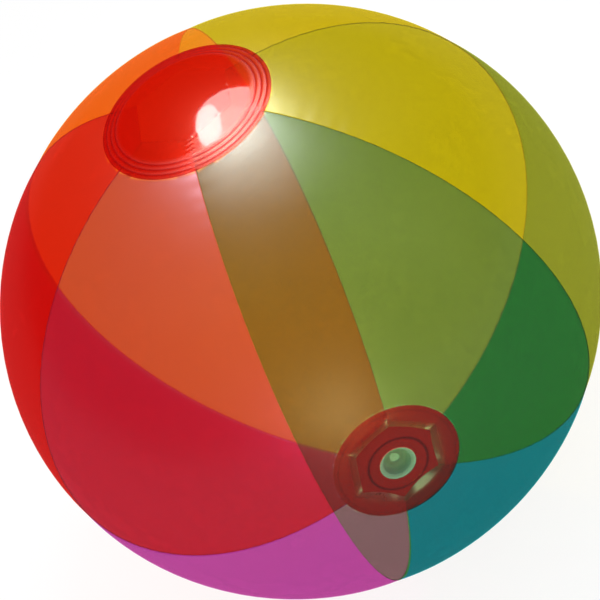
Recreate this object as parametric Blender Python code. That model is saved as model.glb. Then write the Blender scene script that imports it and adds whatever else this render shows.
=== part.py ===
"""Inflatable beach ball: six welded film gores, two round end caps and a push-in air valve.

Frame: metres, +Z up. The ball stands on its valve end cap at z = 0, with its polar axis on Z.
The plain end cap is at the top. The valve sits in the bottom cap, pushed in, so inside the ball is +Z of it.
"""

import math

import bmesh
import bpy
from mathutils import Matrix, Vector

# Driving dimensions, in metres and degrees.
EQUATOR_RADIUS = 0.165
POLAR_RADIUS = 0.158
FILM = 0.0003
GAP = 0.0003
GORES = 6
FIN_DEPTH = 0.0022
OPENING_CORNER_RADIUS = 0.0285
GORE_FACETS_ROUND = 8
GORE_FACETS_LONG = 22

CAP_FACETS = 48
CAP_ARC_STEPS = 4
CAP_FLAT_RADIUS = 0.015
PLAIN_CAP_RADIUS = 0.0459
VALVE_CAP_RADIUS = 0.040
VALVE_HOLE_RADIUS = 0.0082
RIDGE_HEIGHT = 0.0003
RIDGE_HALF_WIDTH = 0.0009
PLAIN_CAP_RIDGES = (0.83, 0.89, 0.95)
VALVE_CAP_RIDGES = (0.525, 0.93)

VALVE_FACETS = 32
FLANGE_INNER_RADIUS = 0.0079
FLANGE_OUTER_RADIUS = 0.0115
FLANGE_THICKNESS = 0.0008
COLLAR_RADIUS = 0.0062
COLLAR_THICKNESS = 0.0008
COLLAR_FACE_Z = 0.0015
STEM_RADIUS = 0.0040
BORE_RADIUS = 0.0024
STEM_ROOT_RADIUS = 0.0050
STEM_ROOT_Z = 0.0064
WEB_FOOT_RADIUS = 0.0088
WEB_THICKNESS = 0.0005
HEAD_RADIUS = 0.0054
HEAD_FACE_Z = 0.0001
HEAD_THICKNESS = 0.0011
SHANK_RADIUS = 0.0020
SHANK_TIP_RADIUS = 0.0017
SHANK_LENGTH = 0.0028
TAB_REACH = 0.0068
STRAP_WIDTH = 0.0030
STRAP_THICKNESS = 0.0006
STRAP_REACH = 0.0075
PLUG_HINGE = (-0.0072, 0.0, 0.00135)
FLAP_RADIUS = 0.0029
FLAP_THICKNESS = 0.0004
FLAP_HINGE_Y = 0.0034

GORE_COLOURS = {
    "yellow": (0.95, 0.66, 0.05),
    "orange": (0.95, 0.34, 0.03),
    "red": (0.80, 0.03, 0.04),
    "magenta": (0.80, 0.13, 0.36),
    "blue": (0.02, 0.28, 0.42),
    "green": (0.30, 0.52, 0.06),
}
CAP_COLOUR = (0.78, 0.05, 0.02)
VALVE_COLOUR = (0.80, 0.84, 0.80)

HALF_GORE = math.pi / GORES
OPENING_APOTHEM = OPENING_CORNER_RADIUS * math.cos(HALF_GORE)
CAP_LIFT = GAP + FILM


def profile_normal(angle):
    """Outward normal (radial, upward) of the ball's meridian at an angle from its north pole."""
    normal = Vector((math.sin(angle) / EQUATOR_RADIUS, math.cos(angle) / POLAR_RADIUS))
    return normal.normalized()


def angle_at_radius(radius):
    """Angle from the pole at which the meridian is this far from the polar axis."""
    return math.asin(radius / EQUATOR_RADIUS)


def flat_height():
    """Height above the ball's centre of the flat on an end cap."""
    angle = angle_at_radius(CAP_FLAT_RADIUS)
    return POLAR_RADIUS * math.cos(angle) + CAP_LIFT * profile_normal(angle).y


CENTRE_Z = flat_height()


def meridian(angle, lift):
    """Radius and height of a point on the meridian, lifted along its normal."""
    normal = profile_normal(angle)
    radius = EQUATOR_RADIUS * math.sin(angle) + lift * normal.x
    height = CENTRE_Z + POLAR_RADIUS * math.cos(angle) + lift * normal.y
    return radius, height


def clear_scene():
    for item in list(bpy.data.objects):
        bpy.data.objects.remove(item, do_unlink=True)


def make_material(name, colour, roughness):
    material = bpy.data.materials.new(name)
    material.use_nodes = True
    shader = material.node_tree.nodes["Principled BSDF"]
    shader.inputs["Base Color"].default_value = (*colour, 1.0)
    shader.inputs["Roughness"].default_value = roughness
    shader.inputs["Metallic"].default_value = 0.0
    return material


def add_object(name, bm, material, location=(0.0, 0.0, 0.0), sharp_degrees=40.0):
    """Turns a bmesh, drawn in world coordinates, into an object whose origin is at location."""
    bmesh.ops.recalc_face_normals(bm, faces=bm.faces)
    bmesh.ops.translate(bm, verts=bm.verts, vec=-Vector(location))
    mesh = bpy.data.meshes.new(name)
    bm.to_mesh(mesh)
    bm.free()
    mesh.shade_smooth()
    mesh.set_sharp_from_angle(angle=math.radians(sharp_degrees))
    mesh.materials.append(material)
    item = bpy.data.objects.new(name, mesh)
    item.location = location
    bpy.context.collection.objects.link(item)
    return item


def add_empty(name, location):
    empty = bpy.data.objects.new(name, None)
    empty.location = location
    bpy.context.collection.objects.link(empty)
    return empty


def set_parent(item, parent):
    """Parents an object and keeps it where it stands."""
    bpy.context.view_layer.update()
    item.parent = parent
    item.matrix_parent_inverse = parent.matrix_world.inverted()


def turned(profile, facets):
    """Bmesh of a profile of (radius, height) points turned about Z; a closed profile makes a ring."""
    bm = bmesh.new()
    verts = [bm.verts.new((radius, 0.0, height)) for radius, height in profile]
    edges = [bm.edges.new(pair) for pair in zip(verts, verts[1:])]
    on_axis = profile[0][0] == 0.0 and profile[-1][0] == 0.0
    if not on_axis:
        edges.append(bm.edges.new((verts[-1], verts[0])))
    bmesh.ops.spin(
        bm,
        geom=verts + edges,
        axis=(0.0, 0.0, 1.0),
        cent=(0.0, 0.0, 0.0),
        angle=2.0 * math.pi,
        steps=facets,
        use_merge=True,
    )
    bmesh.ops.remove_doubles(bm, verts=bm.verts, dist=1e-6)
    return bm


def extruded(outline, direction):
    """Bmesh of a flat outline, a list of 3-D points, pushed along a direction."""
    bm = bmesh.new()
    face = bm.faces.new([bm.verts.new(point) for point in outline])
    grown = bmesh.ops.extrude_face_region(bm, geom=[face])["geom"]
    moved = [element for element in grown if isinstance(element, bmesh.types.BMVert)]
    bmesh.ops.translate(bm, verts=moved, vec=Vector(direction))
    return bm


def arc(centre, radius, start, end, steps):
    """Points (x, y) along an arc, angles in degrees."""
    angles = [math.radians(start + (end - start) * i / steps) for i in range(steps + 1)]
    return [(centre[0] + radius * math.cos(a), centre[1] + radius * math.sin(a)) for a in angles]


def gore_section(share):
    """One closed loop round a gore's film, at a share of the way from its top end to its bottom end.

    The loop runs over the outer skin from seam to seam, round one inward weld fin, back under
    the inner skin and round the other fin. The gore's own centre line is at azimuth zero.
    """

    def station(azimuth):
        end_angle = angle_at_radius(OPENING_APOTHEM / math.cos(azimuth))
        return end_angle + share * (math.pi - 2.0 * end_angle)

    def panel_point(azimuth, lift):
        radius, height = meridian(station(azimuth), lift)
        return Vector((radius * math.cos(azimuth), radius * math.sin(azimuth), height))

    def seam_point(side, lift, inset):
        azimuth = side * HALF_GORE
        radius, height = meridian(station(azimuth), lift)
        into_gore = Vector((math.sin(HALF_GORE), -side * math.cos(HALF_GORE), 0.0))
        along = Vector((radius * math.cos(azimuth), radius * math.sin(azimuth), height))
        return along + into_gore * inset

    clearance = GAP / 2.0
    step = 2.0 * HALF_GORE / GORE_FACETS_ROUND
    between = [-HALF_GORE + step * i for i in range(1, GORE_FACETS_ROUND)]
    outer = [seam_point(-1, 0.0, clearance)]
    outer += [panel_point(azimuth, 0.0) for azimuth in between]
    outer += [seam_point(1, 0.0, clearance)]
    inner = [seam_point(-1, -FILM, clearance + FILM)]
    inner += [panel_point(azimuth, -FILM) for azimuth in between]
    inner += [seam_point(1, -FILM, clearance + FILM)]
    right_fin = [seam_point(1, -FIN_DEPTH, clearance), seam_point(1, -FIN_DEPTH, clearance + FILM)]
    left_fin = [seam_point(-1, -FIN_DEPTH, clearance + FILM), seam_point(-1, -FIN_DEPTH, clearance)]
    return outer + right_fin + inner[::-1] + left_fin


def close_gore_end(bm, loop):
    """Closes the film's cut end with a strip of quads, so that no long face spans the curved loop."""
    last = GORE_FACETS_ROUND
    outer = loop[: last + 1]
    right_fin = loop[last + 1 : last + 3]
    inner = loop[last + 3 : 2 * last + 4][::-1]
    left_fin = loop[2 * last + 4 :]
    for i in range(last):
        bm.faces.new((outer[i], outer[i + 1], inner[i + 1], inner[i]))
    bm.faces.new((outer[last], right_fin[0], right_fin[1], inner[last]))
    bm.faces.new((inner[0], left_fin[0], left_fin[1], outer[0]))


def make_gore(name, colour, centre_azimuth):
    bm = bmesh.new()
    loops = []
    for i in range(GORE_FACETS_LONG + 1):
        points = gore_section(i / GORE_FACETS_LONG)
        loops.append([bm.verts.new(point) for point in points])
    for upper, lower in zip(loops, loops[1:]):
        for i in range(len(upper)):
            j = (i + 1) % len(upper)
            bm.faces.new((upper[i], lower[i], lower[j], upper[j]))
    close_gore_end(bm, loops[0])
    close_gore_end(bm, loops[-1])
    turn = Matrix.Rotation(centre_azimuth, 3, "Z")
    bmesh.ops.rotate(bm, verts=bm.verts, cent=(0.0, 0.0, 0.0), matrix=turn)
    add_object(name, bm, make_material(name, colour, 0.12))


def cap_profile(cap_radius, ridges, hole_radius):
    """Outer and inner outlines of the top end cap, from its middle or hole out to its rim.

    The cap lies outside the gores with a small gap. Its middle is flat, and round ridges
    from the heat weld stand on its outer face, at shares of the cap's radius.
    """
    first = angle_at_radius(CAP_FLAT_RADIUS)
    last = angle_at_radius(cap_radius)
    steps = [first + (last - first) * i / CAP_ARC_STEPS for i in range(CAP_ARC_STEPS + 1)]
    inner = [meridian(angle, GAP) for angle in steps]
    inner[0] = (inner[0][0], flat_height() + CENTRE_Z - FILM)

    plain = [(angle, CAP_LIFT) for angle in steps]
    for share in ridges:
        middle = share * cap_radius
        span = angle_at_radius(middle + RIDGE_HALF_WIDTH) - angle_at_radius(middle)
        centre = angle_at_radius(middle)
        plain = [entry for entry in plain if abs(entry[0] - centre) > 1.5 * span]
        plain += [(centre - span, CAP_LIFT), (centre + span, CAP_LIFT)]
        plain += [(centre - 0.4 * span, CAP_LIFT + RIDGE_HEIGHT), (centre + 0.4 * span, CAP_LIFT + RIDGE_HEIGHT)]
    outer = [meridian(angle, lift) for angle, lift in sorted(plain)]
    outer[0] = (outer[0][0], flat_height() + CENTRE_Z)

    outer.insert(0, (hole_radius, outer[0][1]))
    inner.insert(0, (hole_radius, inner[0][1]))
    return outer, inner


def make_plain_cap(material):
    outer, inner = cap_profile(PLAIN_CAP_RADIUS, PLAIN_CAP_RIDGES, 0.0)
    add_object("plain_end_cap", turned(outer + inner[::-1], CAP_FACETS), material)


def make_valve_cap(material):
    outer, inner = cap_profile(VALVE_CAP_RADIUS, VALVE_CAP_RIDGES, VALVE_HOLE_RADIUS)
    below = [(radius, 2.0 * CENTRE_Z - height) for radius, height in outer + inner[::-1]]
    add_object("valve_end_cap", turned(below, CAP_FACETS), material)


def make_flange(material):
    """Flat ring welded to the inside of the valve cap, round its hole."""
    bottom = FILM + GAP
    top = bottom + FLANGE_THICKNESS
    chamfer = 0.25 * FLANGE_THICKNESS
    profile = [
        (FLANGE_INNER_RADIUS, bottom),
        (FLANGE_OUTER_RADIUS, bottom),
        (FLANGE_OUTER_RADIUS, top - chamfer),
        (FLANGE_OUTER_RADIUS - chamfer, top),
        (FLANGE_INNER_RADIUS, top),
    ]
    add_object("valve_flange", turned(profile, VALVE_FACETS), material)


def make_web(material):
    """Thin flexible cone that ties the stem's inner end to the flange and turns over as the stem moves."""
    foot_z = FILM + 2.0 * GAP + FLANGE_THICKNESS
    neck_radius = STEM_ROOT_RADIUS + GAP
    neck_z = STEM_ROOT_Z - WEB_THICKNESS / 2.0
    steps = 6
    outer = []
    for i in range(steps + 1):
        angle = 0.5 * math.pi * i / steps
        radius = neck_radius + (WEB_FOOT_RADIUS - neck_radius) * math.cos(angle)
        height = foot_z + (neck_z - foot_z) * math.sin(angle)
        outer.append((radius, height))
    inner = [(radius - WEB_THICKNESS, height) for radius, height in outer[:-1]]
    inner.append((neck_radius, outer[-1][1] - WEB_THICKNESS))
    profile = outer + inner[::-1]
    return add_object("valve_web", turned(profile, VALVE_FACETS), material)


def make_stem(material):
    """Air tube with a collar at its outer end and a wider foot at its inner end."""
    collar_z = COLLAR_FACE_Z + COLLAR_THICKNESS
    foot_z = STEM_ROOT_Z - COLLAR_THICKNESS
    profile = [
        (BORE_RADIUS, COLLAR_FACE_Z),
        (COLLAR_RADIUS, COLLAR_FACE_Z),
        (COLLAR_RADIUS, collar_z),
        (STEM_RADIUS, collar_z),
        (STEM_RADIUS, foot_z),
        (STEM_ROOT_RADIUS, foot_z),
        (STEM_ROOT_RADIUS, STEM_ROOT_Z),
        (BORE_RADIUS, STEM_ROOT_Z),
    ]
    return add_object("valve_stem", turned(profile, VALVE_FACETS), material)


def make_plug_tab():
    """Outline of the plug's finger tab, pushed up to its thickness; it is joined to the head."""
    half_width = STRAP_WIDTH / 2.0
    nose = arc((TAB_REACH - half_width, 0.0), half_width, -90.0, 90.0, 6)
    outline = [(0.0, -half_width)] + nose + [(0.0, half_width)]
    points = [(x, y, HEAD_FACE_Z) for x, y in outline]
    return extruded(points, (0.0, 0.0, STRAP_THICKNESS))


def make_plug(material):
    """Round stopper head with a short tapered shank in the stem's bore, and a finger tab at +X."""
    head_back = HEAD_FACE_Z + HEAD_THICKNESS
    profile = [
        (0.0, HEAD_FACE_Z),
        (HEAD_RADIUS, HEAD_FACE_Z),
        (HEAD_RADIUS, head_back),
        (SHANK_RADIUS, head_back),
        (SHANK_TIP_RADIUS, head_back + SHANK_LENGTH),
        (0.0, head_back + SHANK_LENGTH),
    ]
    plug = add_object("valve_plug", turned(profile, VALVE_FACETS), material, PLUG_HINGE)
    tab = add_object("plug_tab_shape", make_plug_tab(), material, PLUG_HINGE)
    tab.hide_render = True
    tab.display_type = "WIRE"
    union = plug.modifiers.new("tab", "BOOLEAN")
    union.operation = "UNION"
    union.solver = "EXACT"
    union.object = tab
    return plug, tab


def make_strap(material):
    """Flat strap at -X that loops from the collar's edge back to the plug's head."""
    low = HEAD_FACE_Z + GAP / 2.0
    high = COLLAR_FACE_Z + COLLAR_THICKNESS
    outline = [
        (HEAD_RADIUS + GAP, low),
        (STRAP_REACH, low),
        (STRAP_REACH, high),
        (COLLAR_RADIUS + GAP, high),
        (COLLAR_RADIUS + GAP, high - STRAP_THICKNESS),
        (STRAP_REACH - STRAP_THICKNESS, high - STRAP_THICKNESS),
        (STRAP_REACH - STRAP_THICKNESS, low + STRAP_THICKNESS),
        (HEAD_RADIUS + GAP, low + STRAP_THICKNESS),
    ]
    points = [(-x, -STRAP_WIDTH / 2.0, z) for x, z in outline]
    bm = extruded(points, (0.0, STRAP_WIDTH, 0.0))
    return add_object("plug_strap", bm, material, PLUG_HINGE)


def make_check_flap(material):
    """Thin round flap over the bore's inner end, hinged at +Y, that the ball's air presses shut."""
    bottom = STEM_ROOT_Z + GAP
    half_width = 0.5 * FLAP_RADIUS
    circle = arc((0.0, 0.0), FLAP_RADIUS, 120.0, 420.0, 24)
    outline = circle + [(half_width, FLAP_HINGE_Y), (-half_width, FLAP_HINGE_Y)]
    points = [(x, y, bottom) for x, y in outline]
    bm = extruded(points, (0.0, 0.0, FLAP_THICKNESS))
    hinge = (0.0, FLAP_HINGE_Y, bottom + FLAP_THICKNESS / 2.0)
    return add_object("check_flap", bm, material, hinge)


def build_ball():
    clear_scene()
    for index, (name, colour) in enumerate(GORE_COLOURS.items()):
        centre_azimuth = (2 * index + 1) * HALF_GORE
        make_gore("gore_" + name, colour, centre_azimuth)
    cap_film = make_material("cap_film", CAP_COLOUR, 0.10)
    valve_vinyl = make_material("valve_vinyl", VALVE_COLOUR, 0.35)
    make_plain_cap(cap_film)
    make_valve_cap(cap_film)
    make_flange(valve_vinyl)

    stem = make_stem(valve_vinyl)
    web = make_web(valve_vinyl)
    plug, tab = make_plug(valve_vinyl)
    strap = make_strap(valve_vinyl)
    flap = make_check_flap(valve_vinyl)
    plug_pivot = add_empty("plug_pivot", PLUG_HINGE)
    for child, parent in (
        (web, stem),
        (flap, stem),
        (plug_pivot, stem),
        (plug, plug_pivot),
        (tab, plug_pivot),
        (strap, plug_pivot),
    ):
        set_parent(child, parent)


build_ball()
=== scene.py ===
"""Looks of the inflatable beach ball: clear tinted gores, ridged end caps and a frosted push-in valve."""
import math

import bpy
import numpy as np
from mathutils import Matrix, Vector


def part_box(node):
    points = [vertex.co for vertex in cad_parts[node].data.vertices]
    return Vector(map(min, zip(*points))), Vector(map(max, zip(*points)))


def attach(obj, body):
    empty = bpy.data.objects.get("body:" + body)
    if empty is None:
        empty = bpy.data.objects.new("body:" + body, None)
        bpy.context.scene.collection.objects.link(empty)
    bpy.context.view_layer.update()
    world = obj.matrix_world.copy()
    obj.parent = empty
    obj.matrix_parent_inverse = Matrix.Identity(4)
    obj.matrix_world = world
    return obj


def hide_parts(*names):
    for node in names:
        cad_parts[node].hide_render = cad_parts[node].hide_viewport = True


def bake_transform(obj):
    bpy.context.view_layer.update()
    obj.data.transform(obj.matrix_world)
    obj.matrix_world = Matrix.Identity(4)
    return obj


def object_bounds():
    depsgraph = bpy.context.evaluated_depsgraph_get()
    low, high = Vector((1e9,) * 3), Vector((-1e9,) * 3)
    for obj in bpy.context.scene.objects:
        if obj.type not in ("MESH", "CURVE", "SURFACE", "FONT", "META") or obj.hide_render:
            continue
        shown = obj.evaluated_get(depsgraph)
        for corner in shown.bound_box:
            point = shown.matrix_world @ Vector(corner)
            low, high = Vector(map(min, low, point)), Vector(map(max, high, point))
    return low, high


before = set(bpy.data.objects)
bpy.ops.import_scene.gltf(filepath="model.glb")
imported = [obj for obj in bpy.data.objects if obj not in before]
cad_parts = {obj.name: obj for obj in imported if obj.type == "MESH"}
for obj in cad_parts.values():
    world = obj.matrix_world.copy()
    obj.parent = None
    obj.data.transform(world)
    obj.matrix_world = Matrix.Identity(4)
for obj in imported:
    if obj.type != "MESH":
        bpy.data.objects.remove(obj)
CAD_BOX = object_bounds()

# ---------------------------------------------------------------- sizes read from the frame (metres)
BALL_LOW = Vector(CAD_BOX[0])
BALL_HIGH = Vector(CAD_BOX[1])
EQUATOR = 0.5 * (BALL_HIGH.x - BALL_LOW.x)
CENTRE_Z = 0.5 * (BALL_LOW.z + BALL_HIGH.z)
GORE_LOW, GORE_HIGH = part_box("gore_orange")
OPENING_APOTHEM = GORE_LOW.y
POLAR = 0.5 * (GORE_HIGH.z - GORE_LOW.z) / math.sqrt(1.0 - (OPENING_APOTHEM / EQUATOR) ** 2)
CAP_RADIUS = {"plain_end_cap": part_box("plain_end_cap")[1].x, "valve_end_cap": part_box("valve_end_cap")[1].x}
FLANGE_LOW, FLANGE_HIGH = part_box("valve_flange")
STEM_LOW, STEM_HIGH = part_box("valve_stem")
WEB_LOW, WEB_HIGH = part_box("valve_web")
PLUG_LOW, PLUG_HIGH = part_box("valve_plug")
STRAP_LOW, STRAP_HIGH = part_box("plug_strap")
FLAP_LOW, FLAP_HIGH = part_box("check_flap")

# ---------------------------------------------------------------- sizes of the fine surface (metres)
MM = 0.001
FILM = 0.30 * MM
GORE_NAMES = ("yellow", "orange", "red", "magenta", "blue", "green")
GORES = len(GORE_NAMES)
HALF_GORE = math.pi / GORES
SEAM_GAP = 0.05 * MM
SEAM_ROUND = 0.35 * MM
FIN_DEPTH = 0.6 * MM
SEAM_VALLEY = 0.6 * MM
SEAM_VALLEY_WIDTH = 12.0 * MM
PUCKER_HEIGHT = 0.10 * MM
PUCKER_REACH = 6.0 * MM
PUCKER_LENGTH = 9.0 * MM
PUCKER_SHIFTS = (37.0 * MM, 11.0 * MM)
PLAIN_LIP = 0.1 * MM
VALVE_LIP = 2.9 * MM
LIP_REACH = 6.5 * MM
LIP_CURL = 1.1
LIP_FULLNESS = 0.7
GORE_STATIONS = 224
PANEL_HALF_STEPS = 16
ROUND_STEPS = 4

CAP_CLEARANCE = 0.12 * MM
CAP_SPOKES = 144
CAP_RINGS = 96
# Each ridge is a share of the cap's radius, a height, a width and how much film is gathered in it.
PLAIN_RIDGES = tuple((share, 0.20 * MM, 0.50 * MM, 1.0) for share in (0.83, 0.89, 0.95))
VALVE_RIDGES = ((0.47, 0.40 * MM, 0.70 * MM, 4.0), (0.93, 0.20 * MM, 0.50 * MM, 1.0))
DOME_HEIGHT = {"plain_end_cap": 0.4 * MM, "valve_end_cap": 0.0}
DOME_SHARE = 0.78
SPOT_DEPTH = 0.12 * MM
SPOT_PITCH = 5.2 * MM
SPOT_WIDTH = 0.6 * MM
BEAD_HEIGHT = 0.28 * MM
BEAD_SINK = 0.12 * MM
BEAD_PITCH = 2.6 * MM
BEAD_WIDTH = 0.9 * MM
OPENING_BLUR = 0.8 * MM
WELD_BLUR = 0.4 * MM
VALVE_HOLE = 8.2 * MM

# ---------------------------------------------------------------- camera and lights
CAMERA_AZIMUTH = -16.0
CAMERA_ELEVATION = 43.3
CAMERA_ROLL = 31.0
CAMERA_DISTANCE = 7.0
CAMERA_LENS = 126.0
SENSOR_WIDTH = 36.0
# Each light: where its reflection falls on the ball, as shares of the radius to the right of and above the
# middle of the view; how far from there it stands, its short and its long side (metres); its power (watts).
LIGHTS = {
    "key_softbox": ((-0.285, 0.545), 0.30, 0.052, 0.115, 0.22),
    "window_softbox": ((-0.215, 0.560), 0.30, 0.150, 0.200, 0.85),
    "fill_softbox": ((-0.180, 0.475), 0.45, 0.340, 0.340, 0.80),
}
# Direction of the lights' long side, as shares of the view's right, up and back directions.
LIGHT_LEAN = (0.15, 0.38, -0.91)


# ================================================================ dyes
WAVELENGTHS = np.arange(400.0, 701.0, 10.0)


def lobe(centre, below, above):
    """Bell curve over the wavelengths with a different width on each side of its centre."""
    width = np.where(WAVELENGTHS < centre, below, above)
    return np.exp(-0.5 * ((WAVELENGTHS - centre) / width) ** 2)


def observer_rgb():
    """Linear RGB of each wavelength, from bell-curve forms of the eye's responses; white sums to 1."""
    x = 1.056 * lobe(599.8, 37.9, 31.0) + 0.362 * lobe(442.0, 16.0, 26.7) - 0.065 * lobe(501.1, 20.4, 26.2)
    y = 0.821 * lobe(568.8, 46.9, 40.5) + 0.286 * lobe(530.9, 16.3, 31.1)
    z = 1.217 * lobe(437.0, 11.8, 36.0) + 0.681 * lobe(459.0, 26.0, 13.8)
    red = 3.2406 * x - 1.5372 * y - 0.4986 * z
    green = -0.9689 * x + 1.8758 * y + 0.0415 * z
    blue = 0.0557 * x - 0.2040 * y + 1.0570 * z
    rgb = np.array([red, green, blue])
    return rgb / rgb.sum(axis=1, keepdims=True)


OBSERVER = observer_rgb()


def long_pass(low, high, edge, width):
    """Dye that passes wavelengths longer than its edge."""
    return low + (high - low) / (1.0 + np.exp(-(WAVELENGTHS - edge) / width))


def notch(low, high, centre, below, above):
    """Dye that absorbs round one wavelength."""
    return high - (high - low) * lobe(centre, below, above)


def band_pass(peak, centre, below, above, leak=0.0, leak_edge=650.0):
    """Dye that passes a band, and may leak at the far red end."""
    deep_red = leak / (1.0 + np.exp(-(WAVELENGTHS - leak_edge) / 5.0))
    return peak * lobe(centre, below, above) + deep_red


# Share of light that one layer of each film passes, over the wavelengths.
DYES = {
    "yellow": long_pass(0.226, 0.825, 517.0, 5.3),
    "orange": long_pass(0.053, 1.05, 569.6, 32.0),
    "red": long_pass(0.064, 0.761, 585.5, 4.0),
    "magenta": notch(0.265, 1.04, 551.5, 110.0, 58.7),
    "blue": band_pass(0.82, 484.3, 15.0, 45.4, leak=0.59, leak_edge=617.6),
    "green": 0.204 + band_pass(0.504, 593.2, 46.7, 15.0),
    "cap": long_pass(0.06, 0.75, 590.0, 5.0),
}
# Factors that put right the pairs whose mix falls off these smooth curves. The green-yellow factor also lifts
# that pair as painted light, for the pale haze of the lamps on it.
MIX_TRIMS = {
    frozenset(("blue",)): (0.05, 0.88, 1.90),
    frozenset(("blue", "green")): (0.60, 0.95, 0.60),
    frozenset(("blue", "orange")): (1.06, 1.20, 0.60),
    frozenset(("blue", "magenta")): (1.50, 1.10, 1.40),
    frozenset(("blue", "cap")): (1.05, 0.72, 0.32),
    frozenset(("green",)): (0.90, 1.10, 1.10),
    frozenset(("green", "yellow")): (1.12, 1.06, 1.00),
    frozenset(("yellow",)): (0.75, 0.80, 1.00),
    frozenset(("magenta",)): (1.10, 1.40, 1.15),
}


def seen_colour(*films):
    """Linear RGB of white light after it has passed the named films."""
    passed = np.ones_like(WAVELENGTHS)
    for film in films:
        passed = passed * DYES[film]
    trim = MIX_TRIMS.get(frozenset(films), (1.0, 1.0, 1.0)) if len(films) == 2 else (1.0, 1.0, 1.0)
    return np.clip(OBSERVER @ passed, 0.0, 1.0) * trim


def tint_before(film, partner):
    """What a film must multiply by so that, with its partner's own colour, the pair shows the true mix."""
    alone = np.maximum(seen_colour(partner), 0.02)
    return np.clip(seen_colour(film, partner) / alone, 0.0, 1.0)


# ================================================================ node helpers
class Nodes:
    """A material's node tree with short calls for the nodes that repeat."""

    def __init__(self, name):
        self.material = bpy.data.materials.new(name)
        self.material.use_nodes = True
        self.tree = self.material.node_tree
        self.tree.nodes.clear()

    def add(self, kind, **settings):
        node = self.tree.nodes.new(kind)
        for key, value in settings.items():
            setattr(node, key, value)
        return node

    def plug(self, value, socket):
        if isinstance(value, bpy.types.NodeSocket):
            self.tree.links.new(value, socket)
        else:
            socket.default_value = value

    def math(self, operation, first, second=None, third=None, clamp=False):
        node = self.add("ShaderNodeMath", operation=operation, use_clamp=clamp)
        for value, socket in zip((first, second, third), node.inputs):
            if value is not None:
                self.plug(value, socket)
        return node.outputs[0]

    def vector(self, operation, first, second=None, third=None, scale=None):
        node = self.add("ShaderNodeVectorMath", operation=operation)
        for value, socket in zip((first, second, third), node.inputs):
            if value is not None:
                self.plug(value, socket)
        if scale is not None:
            self.plug(scale, node.inputs["Scale"])
        return node.outputs["Value"] if operation in ("DOT_PRODUCT", "LENGTH") else node.outputs["Vector"]

    def noise(self, coordinates, scale, detail=3.0, roughness=0.5):
        node = self.add("ShaderNodeTexNoise")
        self.plug(coordinates, node.inputs["Vector"])
        node.inputs["Scale"].default_value = scale
        node.inputs["Detail"].default_value = detail
        node.inputs["Roughness"].default_value = roughness
        return node.outputs["Fac"]

    def remap(self, value, low, high, to_low, to_high):
        node = self.add("ShaderNodeMapRange")
        for item, socket in zip((value, low, high, to_low, to_high), node.inputs):
            self.plug(item, socket)
        return node.outputs["Result"]

    def mix_colour(self, factor, first, second, blend="MIX"):
        node = self.add("ShaderNodeMix", data_type="RGBA", blend_type=blend)
        self.plug(factor, node.inputs["Factor"])
        self.plug(first, node.inputs[6])
        self.plug(second, node.inputs[7])
        return node.outputs[2]

    def mix_shader(self, factor, first, second):
        node = self.add("ShaderNodeMixShader")
        self.plug(factor, node.inputs[0])
        self.plug(first, node.inputs[1])
        self.plug(second, node.inputs[2])
        return node.outputs[0]

    def add_shaders(self, first, *others):
        total = first
        for other in others:
            node = self.add("ShaderNodeAddShader")
            self.plug(total, node.inputs[0])
            self.plug(other, node.inputs[1])
            total = node.outputs[0]
        return total

    def bump(self, height, strength, distance):
        node = self.add("ShaderNodeBump")
        node.inputs["Strength"].default_value = strength
        node.inputs["Distance"].default_value = distance
        self.plug(height, node.inputs["Height"])
        return node.outputs["Normal"]

    def finish(self, shader):
        output = self.add("ShaderNodeOutputMaterial")
        self.plug(shader, output.inputs["Surface"])
        return self.material


def rgba(colour):
    return (float(colour[0]), float(colour[1]), float(colour[2]), 1.0)


# ================================================================ materials
FILM_IOR = 1.5
# A sight line crosses each film shell through two skins, and each skin takes half of the dye.
SKIN_PATH = 0.5
LONGEST_PATH = 0.56
UNDER_CAP_PATH = 0.25
OWN_OVER_VALVE = 0.72
MIRROR_SHARE = 0.030
GRAZING_SHARE = 0.15
SHADOW_WASH = 0.7
INNER_DULLING = 0.3
LIP_GLINT = (0.12, 0.75, 0.95)
WELD_SHEEN = 0.6
WELD_ROUGHNESS = 0.20
FILM_FROST = 0.004
WELD_FROST = 0.45
# Roughness range, share, roughness and colour of the sheen, paleness of the frosted places.
GORE_FINISH = ((0.25, 0.35), 0.052, 0.44, (1.0, 1.0, 1.0), 0.35)
CAP_FINISH = ((0.05, 0.11), 0.022, 0.38, (1.0, 0.28, 0.17), 0.05)


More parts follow.
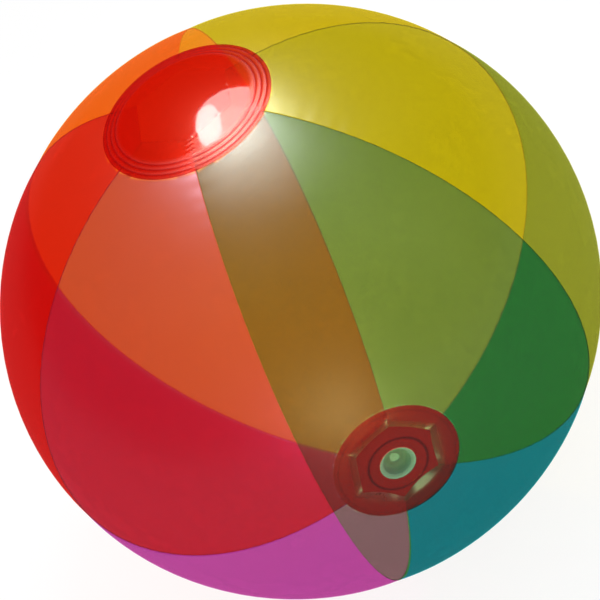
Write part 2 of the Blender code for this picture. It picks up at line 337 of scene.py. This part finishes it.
def film_material(name, film, smoothness, sheen_share, sheen_roughness, sheen_colour, frost_lift):
    """Clear tinted vinyl film.

    The film shows what lies behind it. Two films in a row don't mix as the product of two RGB colours,
    so the layer nearer the eye works out which film the sight line leaves the ball through, and takes
    the tint that makes the pair right.
    """
    n = Nodes(name)
    geometry = n.add("ShaderNodeNewGeometry")
    position, normal, incoming = (geometry.outputs[k] for k in ("Position", "Normal", "Incoming"))
    axes = (EQUATOR, EQUATOR, POLAR)
    from_centre = n.vector("DIVIDE", n.vector("SUBTRACT", position, (0.0, 0.0, CENTRE_Z)), axes)
    along = n.vector("DIVIDE", incoming, tuple(-value for value in axes))
    lean = n.vector("DOT_PRODUCT", from_centre, along)
    length = n.vector("DOT_PRODUCT", along, along)
    reach = n.math("DIVIDE", n.math("MULTIPLY", lean, -2.0), length)
    far_point = n.vector("ADD", from_centre, n.vector("SCALE", along, scale=reach))
    split = n.add("ShaderNodeSeparateXYZ")
    n.plug(far_point, split.inputs[0])
    turn = n.math("DIVIDE", n.math("ARCTAN2", split.outputs["Y"], split.outputs["X"]), 2.0 * math.pi)
    ramp = n.add("ShaderNodeValToRGB")
    ramp.color_ramp.interpolation = "CONSTANT"
    stops = ramp.color_ramp.elements
    while len(stops) < GORES:
        stops.new(0.5)
    for index, partner in enumerate(GORE_NAMES):
        stops[index].position = index / GORES
        stops[index].color = rgba(tint_before(film, partner))
    turn = n.math("FRACT", n.math("ADD", turn, 1.0))
    n.plug(turn, ramp.inputs["Fac"])
    from_axis = n.vector("LENGTH", n.vector("MULTIPLY", far_point, (1.0, 1.0, 0.0)))
    at_valve_end = n.math("LESS_THAN", split.outputs["Z"], 0.0)
    caps = (CAP_RADIUS["plain_end_cap"] / EQUATOR, CAP_RADIUS["valve_end_cap"] / EQUATOR)
    rim = n.remap(at_valve_end, 0.0, 1.0, caps[0], caps[1])
    behind_cap = n.math("LESS_THAN", from_axis, rim)
    behind_valve = n.math("LESS_THAN", from_axis, FLANGE_HIGH.x / EQUATOR)
    behind_valve = n.math("MULTIPLY", behind_valve, at_valve_end)

    own = seen_colour(film)
    over_cap = tint_before(film, "cap")
    before = n.mix_colour(behind_cap, ramp.outputs["Color"], rgba(over_cap))
    over_valve = OWN_OVER_VALVE * own + (1.0 - OWN_OVER_VALVE) * over_cap
    before = n.mix_colour(behind_valve, before, rgba(over_valve))
    is_far = n.math("GREATER_THAN", lean, 0.0)
    tint = n.mix_colour(is_far, before, rgba(own))
    facing = n.math("ABSOLUTE", n.vector("DOT_PRODUCT", normal, incoming))
    sine_squared = n.math("SUBTRACT", 1.0, n.math("MULTIPLY", facing, facing))
    inside_cosine = n.math("SQRT", n.math("SUBTRACT", 1.0, n.math("DIVIDE", sine_squared, FILM_IOR**2)))
    cloud = n.noise(position, 14.0, detail=2.0)
    thickness = n.remap(cloud, 0.3, 0.7, 0.97, 1.03)
    path = n.math("DIVIDE", n.math("MULTIPLY", thickness, SKIN_PATH), inside_cosine)
    path = n.math("MINIMUM", path, LONGEST_PATH)
    # film_stretch is 1 on the gores' thin ends under the caps, and below 0 where a weld ridge gathers film.
    stretched = n.add("ShaderNodeAttribute", attribute_name="film_stretch").outputs["Fac"]
    path = n.math("MULTIPLY", path, n.math("MULTIPLY_ADD", stretched, UNDER_CAP_PATH - 1.0, 1.0))
    gamma = n.add("ShaderNodeGamma")
    n.plug(tint, gamma.inputs["Color"])
    n.plug(path, gamma.inputs["Gamma"])
    ray = n.add("ShaderNodeLightPath")
    wash = n.math("MULTIPLY", ray.outputs["Is Shadow Ray"], SHADOW_WASH)
    clear = n.add("ShaderNodeBsdfTransparent")
    n.plug(n.mix_colour(wash, gamma.outputs["Color"], (1.0, 1.0, 1.0, 1.0)), clear.inputs["Color"])

    smear = n.noise(position, 22.0, detail=5.0, roughness=0.65)
    ripple = n.noise(position, 55.0, detail=2.0)
    bumped = n.bump(ripple, 0.2, 0.0003)
    # weld_frost marks the gores' curled lips, and weld_grain the caps' welded rings.
    lip = n.add("ShaderNodeAttribute", attribute_name="weld_frost").outputs["Fac"]
    grain = n.add("ShaderNodeAttribute", attribute_name="weld_grain").outputs["Fac"]
    mirror = n.add("ShaderNodeBsdfGlossy")
    grazing = n.math("POWER", n.math("SUBTRACT", 1.0, facing), 5.0)
    share = n.remap(grazing, 0.0, 1.0, MIRROR_SHARE, GRAZING_SHARE)
    share = n.math("MULTIPLY", share, n.remap(is_far, 0.0, 1.0, 1.0, INNER_DULLING))
    glint = n.vector("SCALE", LIP_GLINT, scale=lip)
    n.plug(n.vector("ADD", glint, n.vector("SCALE", (1.0, 1.0, 1.0), scale=share)), mirror.inputs["Color"])
    smeared = n.remap(smear, 0.35, 0.75, smoothness[0], smoothness[1])
    n.plug(n.math("MULTIPLY_ADD", grain, WELD_ROUGHNESS, smeared), mirror.inputs["Roughness"])
    n.plug(bumped, mirror.inputs["Normal"])
    sheen = n.add("ShaderNodeBsdfGlossy")
    cloudy = n.math("MULTIPLY", n.remap(smear, 0.3, 0.7, 0.85 * sheen_share, 1.15 * sheen_share), facing)
    cloudy = n.math("MULTIPLY", cloudy, n.math("MULTIPLY_ADD", grain, WELD_SHEEN, 1.0))
    n.plug(n.vector("SCALE", sheen_colour, scale=cloudy), sheen.inputs["Color"])
    sheen.inputs["Roughness"].default_value = sheen_roughness
    skin = n.add_shaders(clear.outputs[0], mirror.outputs[0], sheen.outputs[0])

    pale = rgba(frost_lift + (1.0 - frost_lift) * own)
    through = n.add("ShaderNodeBsdfTranslucent")
    n.plug(pale, through.inputs["Color"])
    back = n.add("ShaderNodeBsdfDiffuse")
    n.plug(pale, back.inputs["Color"])
    frost = n.math("MULTIPLY_ADD", lip, WELD_FROST, FILM_FROST)
    return n.finish(n.mix_shader(frost, skin, n.mix_shader(0.5, through.outputs[0], back.outputs[0])))


def valve_material(name, tone, clearness, glow, painted_rim_light=1.0):
    """Soft clear vinyl with a frosted, slightly milky body; its glow is painted light, an emission that stands
    in for light spread through the body.
    """
    n = Nodes(name)
    geometry = n.add("ShaderNodeNewGeometry")
    position = geometry.outputs["Position"]
    grain = n.noise(position, 900.0, detail=4.0)
    mottle = n.noise(position, 260.0, detail=3.0)
    colour = n.mix_colour(mottle, rgba([0.93 * value for value in tone]), rgba(tone))
    milk = n.add("ShaderNodeBsdfPrincipled")
    n.plug(colour, milk.inputs["Base Color"])
    n.plug(n.remap(mottle, 0.3, 0.7, 0.28, 0.45), milk.inputs["Roughness"])
    milk.inputs["Specular IOR Level"].default_value = 0.5
    # Painted light: the body glows in its own colour, up to 2.2 times as much where its edges are seen
    # side-on, and by the rim factor more on the flange's outer rim.
    n.plug(colour, milk.inputs["Emission Color"])
    edge = n.add("ShaderNodeLayerWeight")
    edge.inputs["Blend"].default_value = 0.5
    strength = n.remap(edge.outputs["Facing"], 0.35, 0.95, glow, 2.2 * glow)
    from_axis = n.vector("LENGTH", n.vector("MULTIPLY", position, (1.0, 1.0, 0.0)))
    rim = n.remap(from_axis, 0.84 * FLANGE_HIGH.x, 0.97 * FLANGE_HIGH.x, 1.0, painted_rim_light)
    n.plug(n.math("MULTIPLY", strength, rim), milk.inputs["Emission Strength"])
    n.plug(n.bump(grain, 0.15, 0.0001), milk.inputs["Normal"])
    clear = n.add("ShaderNodeBsdfTransparent")
    n.plug(colour, clear.inputs["Color"])
    return n.finish(n.mix_shader(clearness, milk.outputs[0], clear.outputs[0]))


# ================================================================ the ball's surface
def meridian(angle, lift):
    """Radius and height on the ball's meridian, at angles from the top pole, lifted along the normal."""
    across = np.sin(angle) / EQUATOR
    upward = np.cos(angle) / POLAR
    size = np.sqrt(across**2 + upward**2)
    radius = EQUATOR * np.sin(angle) + lift * across / size
    height = CENTRE_Z + POLAR * np.cos(angle) + lift * upward / size
    return radius, height


def on_ball(azimuth, angle, lift):
    radius, height = meridian(angle, lift)
    return np.stack([radius * np.cos(azimuth), radius * np.sin(azimuth), height], axis=-1)


def seam_relief(from_seam, along):
    """Sag of the film towards a seam, with small puckers that die out away from it."""
    valley = -SEAM_VALLEY * np.exp(-from_seam / SEAM_VALLEY_WIDTH)
    wave = np.sin(2.0 * math.pi * along / PUCKER_LENGTH)
    wave = wave + 0.6 * np.sin(2.0 * math.pi * along / (1.73 * PUCKER_LENGTH) + 1.3)
    swell = 0.55 + 0.45 * np.sin(2.0 * math.pi * along / (9.1 * PUCKER_LENGTH) + 0.7)
    pucker = PUCKER_HEIGHT * wave * swell * np.exp(-from_seam / PUCKER_REACH)
    return valley + pucker


def grid_faces(rows, columns, closed_columns):
    """Quads over a grid of points numbered row by row."""
    last = columns if closed_columns else columns - 1
    faces = []
    for i in range(rows - 1):
        for j in range(last):
            k = (j + 1) % columns
            faces.append((i * columns + j, (i + 1) * columns + j, (i + 1) * columns + k, i * columns + k))
    return faces


def add_mesh(name, points, faces, material, sharp=50.0):
    mesh = bpy.data.meshes.new(name)
    mesh.from_pydata([tuple(point) for point in points], [], faces)
    mesh.validate()
    mesh.update()
    mesh.shade_smooth()
    mesh.set_sharp_from_angle(angle=math.radians(sharp))
    mesh.materials.append(material)
    item = bpy.data.objects.new(name, mesh)
    bpy.context.scene.collection.objects.link(item)
    return item


def gore_section():
    """Half of the film's section as (share of the half width, distance from seam, depth), fin tip first.

    Returns the outer and the inner skin. Where the share is 0, the distance is the same all along the seam.
    """
    skins = []
    for inset in (0.0, FILM):
        path = [(0.0, SEAM_GAP + inset, -FIN_DEPTH), (0.0, SEAM_GAP + inset, -0.5 * (FIN_DEPTH + SEAM_ROUND))]
        for i in range(ROUND_STEPS + 1):
            angle = 0.5 * math.pi * (1.0 - i / ROUND_STEPS)
            bend = SEAM_ROUND - inset
            distance = SEAM_GAP + SEAM_ROUND - bend * math.sin(angle)
            depth = -SEAM_ROUND + bend * math.cos(angle)
            path.append((0.0, distance, depth))
        for i in range(1, PANEL_HALF_STEPS + 1):
            share = 1.0 - math.cos(0.5 * math.pi * i / PANEL_HALF_STEPS)
            path.append((share, SEAM_GAP + SEAM_ROUND, -inset))
        skins.append(path)
    return skins


def build_gore(index):
    """One gore as a thin closed shell: curved panel, rounded seam edges, weld fins and curled ends."""
    outer, inner = gore_section()

    def whole(path):
        left = [(-1.0, *entry) for entry in path]
        right = [(1.0, *entry) for entry in path[:-1]]
        return left + right[::-1]

    loop = np.array(whole(outer) + whole(inner)[::-1])
    side, share, distance, depth = loop.T
    stations = np.linspace(0.0, 1.0, GORE_STATIONS + 1)[:, None]

    corner_angle = math.asin(OPENING_APOTHEM / math.cos(HALF_GORE) / EQUATOR)
    rough_angle = corner_angle + stations * (math.pi - 2.0 * corner_angle)
    half_width = EQUATOR * np.sin(rough_angle) * HALF_GORE
    from_seam = distance + share * (half_width - distance)
    off_centre = side * HALF_GORE * (1.0 - from_seam / half_width)
    end_angle = np.arcsin(OPENING_APOTHEM / np.cos(off_centre) / EQUATOR)
    angle = end_angle + stations * (math.pi - 2.0 * end_angle)

    along = EQUATOR * angle + PUCKER_SHIFTS[0] * index + PUCKER_SHIFTS[1] * side
    relief = seam_relief(np.maximum(from_seam - SEAM_ROUND, 0.0), along)
    to_end = EQUATOR * np.minimum(angle - end_angle, math.pi - end_angle - angle)
    curl = np.clip(1.0 - to_end / LIP_REACH, 0.0, 1.0) ** LIP_CURL
    lip = np.where(angle > 0.5 * math.pi, VALVE_LIP, PLAIN_LIP)
    fullness = np.cos(0.5 * math.pi * off_centre / HALF_GORE) ** LIP_FULLNESS
    relief = relief * (1.0 - curl) - lip * curl * fullness
    azimuth = off_centre + (2 * index + 1) * HALF_GORE
    points = on_ball(azimuth, angle, depth + relief)

    columns = len(loop)
    faces = grid_faces(GORE_STATIONS + 1, columns, True)
    half = columns // 2
    last_row = GORE_STATIONS * columns
    for j in range(half - 1):
        opposite = columns - 1 - j
        faces.append((j, j + 1, opposite - 1, opposite))
        faces.append((last_row + opposite, last_row + opposite - 1, last_row + j + 1, last_row + j))
    name = GORE_NAMES[index]
    film = film_material("film_" + name, name, *GORE_FINISH)
    item = add_mesh("film_gore_" + name, points.reshape(-1, 3), faces, film)
    frost = item.data.attributes.new("weld_frost", "FLOAT", "POINT")
    frost.data.foreach_set("value", (curl * lip / VALVE_LIP).ravel())
    at_valve_end = angle > 0.5 * math.pi
    rim = np.where(at_valve_end, CAP_RADIUS["valve_end_cap"], CAP_RADIUS["plain_end_cap"])
    under = item.data.attributes.new("film_stretch", "FLOAT", "POINT")
    under.data.foreach_set("value", (EQUATOR * np.sin(angle) < rim).astype(float).ravel())
    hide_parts("gore_" + name)
    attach(item, "envelope")


def on_opening(radius, azimuth):
    """How far inside the gores' six-sided opening a point is, and how far along the nearest side."""
    from_middle = np.mod(azimuth, 2.0 * HALF_GORE) - HALF_GORE
    return OPENING_APOTHEM - radius * np.cos(from_middle), radius * np.sin(from_middle)


def build_cap(node, ridges, hole_radius, at_top, material):
    """Round film cap over the gores' ends: ridges from the weld, beads over the seams, a bulged middle."""
    rim = CAP_RADIUS[node]
    radius = np.linspace(hole_radius, rim, CAP_RINGS + 1)[:, None]
    azimuth = np.linspace(0.0, 2.0 * math.pi, CAP_SPOKES, endpoint=False)[None, :]
    radius, azimuth = np.broadcast_arrays(radius, azimuth)
    angle = np.arcsin(np.minimum(radius / EQUATOR, 1.0))
    inside, sideways = on_opening(radius, azimuth)
    relief = DOME_HEIGHT[node] * np.clip(1.0 - (radius / (DOME_SHARE * rim)) ** 2, 0.0, 1.0) ** 2
    spot = np.cos(math.pi * sideways / SPOT_PITCH) ** 12
    relief -= SPOT_DEPTH * spot * np.exp(-((inside / SPOT_WIDTH) ** 2))
    thick = np.zeros_like(radius)
    for share, height, width, gathered in ridges:
        profile = np.exp(-(((radius - share * rim) / width) ** 2))
        relief += height * profile
        thick = np.maximum(thick, gathered * profile)
    from_seam = radius * np.abs(np.mod(azimuth + HALF_GORE, 2.0 * HALF_GORE) - HALF_GORE)
    outside = 1.0 / (1.0 + np.exp(inside / OPENING_BLUR))
    bead = 0.5 + 0.5 * np.sin(2.0 * math.pi * radius / BEAD_PITCH)
    relief += outside * (BEAD_HEIGHT * bead - BEAD_SINK) * np.exp(-((from_seam / BEAD_WIDTH) ** 2))
    points = []
    for lift in (CAP_CLEARANCE + FILM, CAP_CLEARANCE):
        skin = on_ball(azimuth, angle, relief + lift)
        if not at_top:
            skin[..., 2] = 2.0 * CENTRE_Z - skin[..., 2]
            skin[..., 2] = np.maximum(skin[..., 2], CAP_CLEARANCE + FILM - lift)
        points.append(skin)
    outer_count = (CAP_RINGS + 1) * CAP_SPOKES
    stacked = np.concatenate([points[0].reshape(-1, 3), points[1].reshape(-1, 3)])
    quads = grid_faces(CAP_RINGS + 1, CAP_SPOKES, True)
    faces = [face[::-1] if not at_top else face for face in quads]
    faces += [tuple(outer_count + i for i in (face if not at_top else face[::-1])) for face in quads]
    start = CAP_RINGS * CAP_SPOKES
    edges = [(start, False)]
    if hole_radius > 0.0:
        edges.append((0, True))
    for first, flip in edges:
        for j in range(CAP_SPOKES):
            k = (j + 1) % CAP_SPOKES
            quad = (first + j, outer_count + first + j, outer_count + first + k, first + k)
            faces.append(quad[::-1] if flip != (not at_top) else quad)
    item = add_mesh("film_" + node, stacked, faces, material)
    if hole_radius == 0.0:
        middle = item.modifiers.new("middle", "WELD")
        middle.merge_threshold = 1e-6
    weld = 1.0 / (1.0 + np.exp((DOME_SHARE * rim - radius) / WELD_BLUR))
    grain = item.data.attributes.new("weld_grain", "FLOAT", "POINT")
    grain.data.foreach_set("value", np.concatenate([weld.ravel(), weld.ravel()]))
    stretch = item.data.attributes.new("film_stretch", "FLOAT", "POINT")
    stretch.data.foreach_set("value", -np.concatenate([thick.ravel(), thick.ravel()]))
    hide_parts(node)
    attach(item, "envelope")


# ================================================================ valve pieces
VALVE_SPOKES = 96
FLANGE_HOLE = 7.9 * MM
COLLAR_DEPTH = 0.8 * MM
STEM_RADIUS = 4.0 * MM
STEM_ROOT = 5.0 * MM
BORE = 2.4 * MM
WEB_STEPS = 12
WEB_THICKNESS = 0.5 * MM
HEAD_RADIUS = 5.4 * MM
HEAD_DEPTH = 1.1 * MM
SHANK_RADIUS = 2.0 * MM
SHANK_TIP = 1.7 * MM
TAB_ROOT = 4.0 * MM
TAB_HALF_WIDTH = 1.5 * MM
TAB_THICKNESS = 0.6 * MM
STRAP_THICKNESS = 0.6 * MM
STRAP_LEG = 0.38 * MM
STRAP_ON_HEAD = -5.0 * MM
STRAP_ON_COLLAR = -5.8 * MM
FLAP_CUT = math.radians(120.0)
FLAP_STEPS = 40


def rounded(corners, radius, steps=4):
    """A closed outline of (x, y) corners with each corner turned into a small arc."""
    outline = []
    count = len(corners)
    for i, corner in enumerate(corners):
        here = Vector(corner)
        before = Vector(corners[i - 1]) - here
        after = Vector(corners[(i + 1) % count]) - here
        if corner[0] == 0.0:
            outline.append(tuple(here))
            continue
        cut = min(radius, 0.45 * before.length, 0.45 * after.length)
        first = here + before.normalized() * cut
        last = here + after.normalized() * cut
        for k in range(steps + 1):
            t = k / steps
            point = first * (1.0 - t) ** 2 + here * (2.0 * t * (1.0 - t)) + last * t**2
            outline.append(tuple(point))
    return outline


def lathe(name, outline, material, node, body):
    """A closed (radius, height) outline turned about Z."""
    azimuth = np.linspace(0.0, 2.0 * math.pi, VALVE_SPOKES, endpoint=False)[None, :]
    radius = np.array([point[0] for point in outline])[:, None]
    height = np.array([point[1] for point in outline])[:, None] + 0.0 * azimuth
    points = np.stack([radius * np.cos(azimuth), radius * np.sin(azimuth), height], axis=-1).reshape(-1, 3)
    rows = len(outline)
    quads = grid_faces(rows, VALVE_SPOKES, True)
    if radius[0] > 0.0 or radius[-1] > 0.0:
        start = (rows - 1) * VALVE_SPOKES
        for j in range(VALVE_SPOKES):
            k = (j + 1) % VALVE_SPOKES
            quads.append((start + j, j, k, start + k))
    item = add_mesh(name, points, quads, material)
    weld = item.modifiers.new("axis", "WELD")
    weld.merge_threshold = 1e-6
    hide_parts(node)
    if body:
        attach(item, body)
    return item


def prism(name, outline, low, high, plane, material):
    """A rounded outline of (x, y) points pushed from low to high along the third axis of a plane."""
    count = len(outline)
    points = []
    for level in (low, high):
        for x, y in outline:
            points.append((x, level, y) if plane == "xz" else (x, y, level))
    faces = [tuple(range(count)), tuple(range(2 * count - 1, count - 1, -1))]
    for j in range(count):
        k = (j + 1) % count
        faces.append((j, count + j, count + k, k))
    return add_mesh(name, points, faces, material, sharp=35.0)


def build_valve():
    # Every valve material glows a little as painted light; the flange, brightest at its rim, and the pale
    # check flap glow most.
    welded = valve_material("valve_flange_vinyl", (0.88, 0.86, 0.96), 0.25, 0.30, painted_rim_light=2.4)
    milky = valve_material("valve_frosted_vinyl", (0.74, 0.76, 0.77), 0.20, 0.04)
    clear = valve_material("valve_clear_vinyl", (0.84, 0.87, 0.86), 0.40, 0.14)

    flange = rounded(
        [
            (FLANGE_HOLE, FLANGE_LOW.z),
            (FLANGE_HIGH.x, FLANGE_LOW.z),
            (FLANGE_HIGH.x, FLANGE_HIGH.z),
            (FLANGE_HOLE, FLANGE_HIGH.z),
        ],
        0.25 * MM,
    )
    lathe("frosted_valve_flange", flange, welded, "valve_flange", "envelope")

    collar_top = STEM_LOW.z + COLLAR_DEPTH
    root_low = STEM_HIGH.z - COLLAR_DEPTH
    stem = rounded(
        [
            (BORE, STEM_LOW.z),
            (STEM_HIGH.x, STEM_LOW.z),
            (STEM_HIGH.x, collar_top),
            (STEM_RADIUS, collar_top),
            (STEM_RADIUS, root_low),
            (STEM_ROOT, root_low),
            (STEM_ROOT, STEM_HIGH.z),
            (BORE, STEM_HIGH.z),
        ],
        0.2 * MM,
    )
    lathe("frosted_valve_stem", stem, milky, "valve_stem", "stem")

    outside = []
    for i in range(WEB_STEPS + 1):
        angle = 0.5 * math.pi * i / WEB_STEPS
        radius = STEM_ROOT + (WEB_HIGH.x - STEM_ROOT) * math.cos(angle)
        height = WEB_LOW.z + (WEB_HIGH.z - WEB_LOW.z) * math.sin(angle)
        outside.append((radius, height))
    inside = [(radius - WEB_THICKNESS, height) for radius, height in outside[:-1]]
    inside.append((STEM_ROOT, outside[-1][1] - WEB_THICKNESS))
    web = lathe("soft_valve_web", outside + inside[::-1], clear, "valve_web", None)
    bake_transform(web)

    head_back = PLUG_LOW.z + HEAD_DEPTH
    plug = rounded(
        [
            (0.0, PLUG_LOW.z),
            (HEAD_RADIUS, PLUG_LOW.z),
            (HEAD_RADIUS, head_back),
            (SHANK_RADIUS, head_back),
            (SHANK_TIP, PLUG_HIGH.z),
            (0.0, PLUG_HIGH.z),
        ],
        0.3 * MM,
    )
    lathe("frosted_valve_plug", plug, milky, "valve_plug", "plug")
    half = TAB_HALF_WIDTH
    outline = [(TAB_ROOT, -half), (PLUG_HIGH.x, -half), (PLUG_HIGH.x, half), (TAB_ROOT, half)]
    tab_top = PLUG_LOW.z + TAB_THICKNESS
    tab = prism("plug_finger_tab", rounded(outline, 1.2 * MM, 6), PLUG_LOW.z, tab_top, "xy", milky)
    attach(tab, "plug")

    # The leg on the plug's head is thin, so that it clears the valve's hole when the plug swings open.
    low, high = head_back - STRAP_LEG, STRAP_HIGH.z
    bend = STRAP_LOW.x
    strap = rounded(
        [
            (STRAP_ON_HEAD, low),
            (bend, low),
            (bend, high),
            (STRAP_ON_COLLAR, high),
            (STRAP_ON_COLLAR, high - STRAP_THICKNESS),
            (bend + STRAP_THICKNESS, high - STRAP_THICKNESS),
            (bend + STRAP_THICKNESS, head_back),
            (STRAP_ON_HEAD, head_back),
        ],
        0.25 * MM,
    )
    strap = prism("soft_plug_strap", strap, -half, half, "xz", clear)
    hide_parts("plug_strap")
    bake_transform(strap)

    flap_radius = FLAP_HIGH.x
    arc = [FLAP_CUT + (2.0 * math.pi - 0.5 * FLAP_CUT) * i / FLAP_STEPS for i in range(FLAP_STEPS + 1)]
    outline = [(flap_radius * math.cos(a), flap_radius * math.sin(a)) for a in arc]
    outline += [(0.5 * flap_radius, FLAP_HIGH.y), (-0.5 * flap_radius, FLAP_HIGH.y)]
    # The check flap is pale vinyl with the strongest painted glow of the valve.
    painted_glow = valve_material("valve_painted_glow_vinyl", (0.95, 0.96, 0.94), 0.10, 0.45)
    flap = prism("clear_check_flap", outline, FLAP_LOW.z, FLAP_HIGH.z, "xy", painted_glow)
    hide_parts("check_flap")
    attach(flap, "flap")


# ================================================================ stage, light, camera
FLOOR_SIZE = 8.0
FLOOR_DROP = 0.2 * MM
PAPER_SHADES = ((0.90, 0.90, 0.90, 1.0), (0.96, 0.96, 0.96, 1.0))
PAPER_GLOW_SHARE = 0.82
GLOW_ON_OBJECTS = 0.04
WHITE = (1.0, 1.0, 1.0, 1.0)
ROOM_IN_REFLECTIONS = (0.018, 0.018, 0.020, 1.0)


def camera_axes():
    """Right, up and backward unit vectors of the rolled camera, in the ball's frame."""
    azimuth, elevation, roll = (math.radians(v) for v in (CAMERA_AZIMUTH, CAMERA_ELEVATION, CAMERA_ROLL))
    level_share = math.cos(elevation)
    back = Vector((math.sin(azimuth) * level_share, -math.cos(azimuth) * level_share, math.sin(elevation)))
    level = Vector((math.cos(azimuth), math.sin(azimuth), 0.0))
    upright = back.cross(level)
    right = level * math.cos(roll) - upright * math.sin(roll)
    up = level * math.sin(roll) + upright * math.cos(roll)
    return right, up, back


def build_floor():
    bpy.ops.mesh.primitive_plane_add(size=FLOOR_SIZE, location=(0.0, 0.0, BALL_LOW.z - FLOOR_DROP))
    floor = bpy.context.object
    floor.name = "studio_floor"
    n = Nodes("studio_floor_paper")
    geometry = n.add("ShaderNodeNewGeometry")
    path = n.add("ShaderNodeLightPath")
    position = geometry.outputs["Position"]
    grain = n.noise(position, 40.0, detail=4.0)
    paper = n.mix_colour(grain, *PAPER_SHADES)
    matte = n.add("ShaderNodeBsdfDiffuse")
    n.plug(paper, matte.inputs["Color"])
    glow = n.add("ShaderNodeEmission")
    n.plug(WHITE, glow.inputs["Color"])
    n.plug(n.remap(path.outputs["Is Camera Ray"], 0.0, 1.0, GLOW_ON_OBJECTS, 1.0), glow.inputs["Strength"])
    unseen = n.add("ShaderNodeBsdfTransparent")
    face = n.mix_shader(PAPER_GLOW_SHARE, matte.outputs[0], glow.outputs[0])
    from_below = geometry.outputs["Backfacing"]
    floor.data.materials.append(n.finish(n.mix_shader(from_below, face, unseen.outputs[0])))


def build_world():
    world = bpy.data.worlds.new("studio")
    world.use_nodes = True
    bpy.context.scene.world = world
    tree = world.node_tree
    tree.nodes.clear()
    path = tree.nodes.new("ShaderNodeLightPath")
    room = tree.nodes.new("ShaderNodeMix")
    room.data_type = "RGBA"
    room.inputs[6].default_value = ROOM_IN_REFLECTIONS
    room.inputs[7].default_value = WHITE
    background = tree.nodes.new("ShaderNodeBackground")
    output = tree.nodes.new("ShaderNodeOutputWorld")
    seen = tree.nodes.new("ShaderNodeMath")
    seen.operation = "MAXIMUM"
    tree.links.new(path.outputs["Is Camera Ray"], seen.inputs[0])
    tree.links.new(path.outputs["Is Diffuse Ray"], seen.inputs[1])
    tree.links.new(seen.outputs[0], room.inputs[0])
    tree.links.new(room.outputs[2], background.inputs["Color"])
    tree.links.new(background.outputs[0], output.inputs["Surface"])


def add_softbox(name, highlight, distance, width, length, power):
    """Oval soft light, placed so that its reflection falls on a given place on the ball."""
    right, up, back = camera_axes()
    middle = Vector((0.0, 0.0, CENTRE_Z))
    towards_eye = math.sqrt(1.0 - highlight[0] ** 2 - highlight[1] ** 2)
    normal = right * highlight[0] + up * highlight[1] + back * towards_eye
    spot = middle + normal * EQUATOR
    sight = (middle + back * (CAMERA_DISTANCE * EQUATOR) - spot).normalized()
    outward = 2.0 * normal.dot(sight) * normal - sight
    long_side = right * LIGHT_LEAN[0] + up * LIGHT_LEAN[1] + back * LIGHT_LEAN[2]
    short_side = long_side.cross(outward).normalized()
    long_side = outward.cross(short_side)

    light = bpy.data.lights.new(name, "AREA")
    light.shape = "ELLIPSE"
    light.size = width
    light.size_y = length
    light.energy = power
    item = bpy.data.objects.new(name, light)
    turn = Matrix((short_side, long_side, outward)).transposed()
    item.matrix_world = Matrix.Translation(spot + outward * distance) @ turn.to_4x4()
    item.visible_camera = False
    bpy.context.scene.collection.objects.link(item)


def build_lights():
    for name, setting in LIGHTS.items():
        add_softbox(name, *setting)


def build_camera():
    right, up, back = camera_axes()
    camera = bpy.data.cameras.new("photo_camera")
    camera.lens = CAMERA_LENS
    camera.sensor_width = SENSOR_WIDTH
    item = bpy.data.objects.new("photo_camera", camera)
    turn = Matrix((right, up, back)).transposed()
    place = Vector((0.0, 0.0, CENTRE_Z)) + back * (CAMERA_DISTANCE * EQUATOR)
    item.matrix_world = Matrix.Translation(place) @ turn.to_4x4()
    bpy.context.scene.collection.objects.link(item)
    bpy.context.scene.camera = item


def build_ball():
    for index in range(GORES):
        build_gore(index)
    cap_film = film_material("film_cap", "cap", *CAP_FINISH)
    build_cap("plain_end_cap", PLAIN_RIDGES, 0.0, True, cap_film)
    build_cap("valve_end_cap", VALVE_RIDGES, VALVE_HOLE, False, cap_film)
    build_valve()


build_ball()
build_floor()
build_world()
build_lights()
build_camera()
bpy.context.scene.view_settings.view_transform = "Standard"
bpy.context.scene.cycles.transparent_max_bounces = 40
